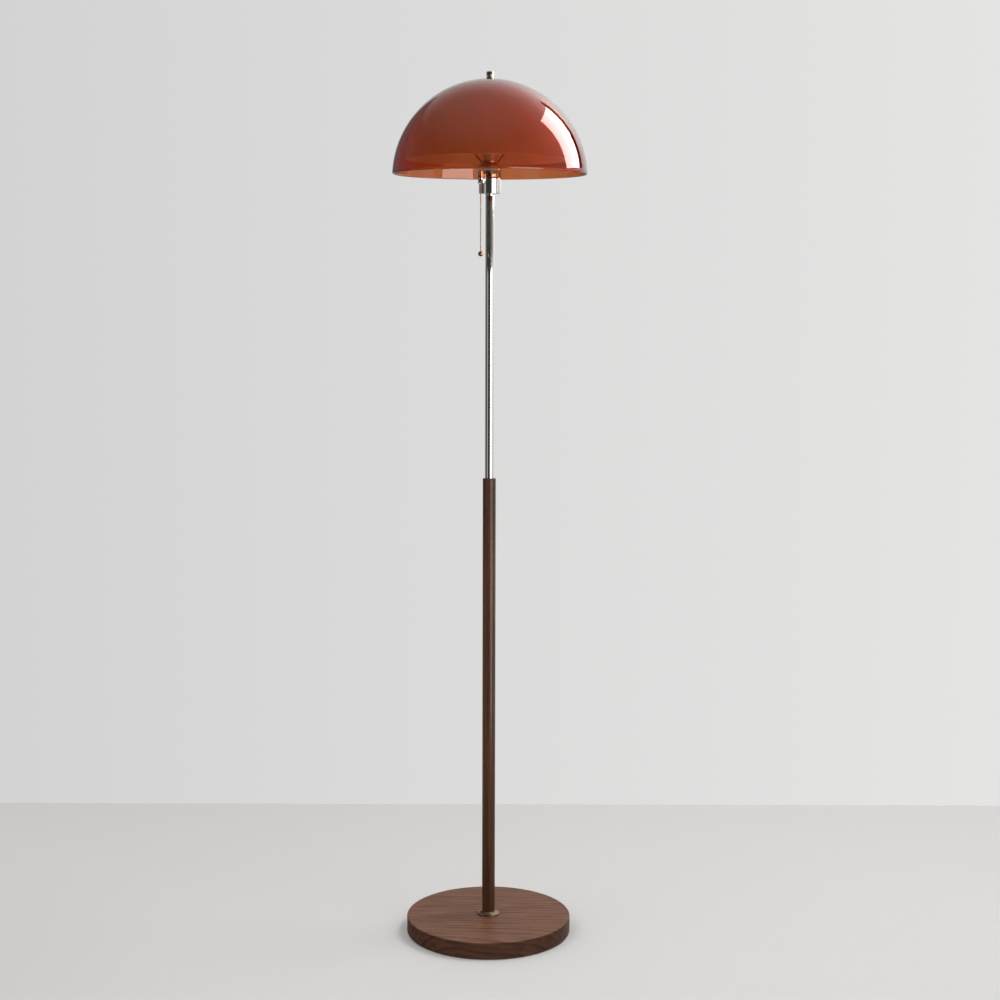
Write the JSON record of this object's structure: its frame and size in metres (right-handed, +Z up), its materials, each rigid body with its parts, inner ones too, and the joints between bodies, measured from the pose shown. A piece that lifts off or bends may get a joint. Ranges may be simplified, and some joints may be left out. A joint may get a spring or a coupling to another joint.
{
  "type": "mushroom floor lamp",
  "caption": "Floor lamp with an amber dome over an opal dome on a slim metal tube and wooden pole, round wooden foot, and a pull-chain switch under the dome.",
  "frame": {"origin": "centre of the foot's underside, on the floor", "axes": "+Z up along the pole's axis; the pull chain hangs at the front, towards -Y and a little to -X; the cord leaves at the back, towards +Y"},
  "size_m": [0.3499, 0.35, 1.5832],
  "materials": {
    "pad_rubber": "matt, lightly pebbled non-slip sheet",
    "walnut": "walnut stained, satin lacquer, straight grain",
    "weight_iron": "as cast, black dipped",
    "zinc_steel": "zinc plated",
    "black_plastic": "moulded, matt",
    "antique_brass": "brown antiqued, lacquered",
    "plain_brass": "bright, unlacquered",
    "bright_nickel": "polished plate",
    "black_moulding": "glossy thermoset moulding",
    "shell_aluminium": "plain rolled sheet",
    "fibre_sleeve": "brown vulcanised fibre",
    "opal_bulb": "opal coated envelope",
    "opal_white": "white opal sheet, glossy",
    "amber_dome": "clear amber, polished, glossy",
    "spring_steel": "plain wire",
    "chain_brass": "bright, slightly toned"
  },
  "bodies": {
    "stand": {"base_pad": "pad_rubber", "base_disc": "walnut", "base_weight": "weight_iron", "weight_screws": "zinc_steel", "cord_grommet": "black_plastic", "base_washer": "zinc_steel", "base_lock_washer": "zinc_steel", "base_nut": "zinc_steel", "pole_flange": "antique_brass", "wood_pole": "walnut", "tie_pipe": "zinc_steel", "tube_lower_plug": "plain_brass", "upper_tube": "bright_nickel", "tube_upper_plug": "plain_brass", "socket_cup": "bright_nickel", "cup_nipple": "zinc_steel", "harp_saddle": "zinc_steel", "cup_lock_nut": "zinc_steel", "socket_cap": "plain_brass", "switch_block": "black_moulding", "terminal_screws": "plain_brass", "centre_contact": "plain_brass", "screw_shell": "shell_aluminium", "insulating_sleeve": "fibre_sleeve", "socket_shell": "plain_brass", "bulb_cap": "shell_aluminium", "bulb_glass": "opal_bulb", "harp": "plain_brass", "chain_bell": "bright_nickel", "switch_pin": "zinc_steel", "lever_spring": "spring_steel"},
    "shade_assembly": {"diffuser": "opal_white", "shade_spacer": "black_plastic", "shade": "amber_dome", "shade_washer": "antique_brass"},
    "finial_knob": {"finial": "antique_brass"},
    "switch_lever": {"pull_lever": "zinc_steel"},
    "switch_ratchet": {"ratchet_wheel": "black_moulding"},
    "chain_head": {"chain_top": "chain_brass"},
    "chain_swivel": {"chain_link": "chain_brass"},
    "chain_drop": {"pull_chain": "chain_brass", "pull_ball": "chain_brass"}
  },
  "joints": [
    {"name": "chain_pull", "type": "slide", "parent": "stand", "child": "chain_head", "axis": [0, 0, -1], "range_m": [0, 0.008], "stiffness_N_per_m": 400, "springref_m": -0.01},
    {"name": "lever_turn", "type": "hinge", "parent": "stand", "child": "switch_lever", "pos_m": [-0.00405, -0.00521, 1.3924], "axis": [0.79, -0.6132, 0], "range_deg": [0, 22.7]},
    {"name": "ratchet_turn", "type": "hinge", "parent": "stand", "child": "switch_ratchet", "pos_m": [-0.00405, -0.00521, 1.3924], "axis": [0.79, -0.6132, 0], "range_deg": [0, 22.7]},
    {"name": "chain_swing_side", "type": "hinge", "parent": "chain_head", "child": "chain_swivel", "pos_m": [-0.0163, -0.021, 1.3849], "axis": [-0.6132, -0.79, 0], "range_deg": [-45, 45]},
    {"name": "chain_swing_out", "type": "hinge", "parent": "chain_swivel", "child": "chain_drop", "pos_m": [-0.0163, -0.021, 1.3849], "axis": [-0.79, 0.6132, 0], "range_deg": [-6, 60]},
    {"name": "shade_turn", "type": "hinge", "parent": "stand", "child": "shade_assembly", "pos_m": [0, 0, 1.5638], "axis": [0, 0, 1], "continuous": true},
    {"name": "finial_turn", "type": "hinge", "parent": "stand", "child": "finial_knob", "pos_m": [0, 0, 1.5766], "axis": [0, 0, 1], "continuous": true}
  ],
  "couplings": [
    {"joint": "lever_turn", "follows": "chain_pull", "rad_per_m": 49.388},
    {"joint": "ratchet_turn", "follows": "chain_pull", "rad_per_m": 49.388}
  ]
}
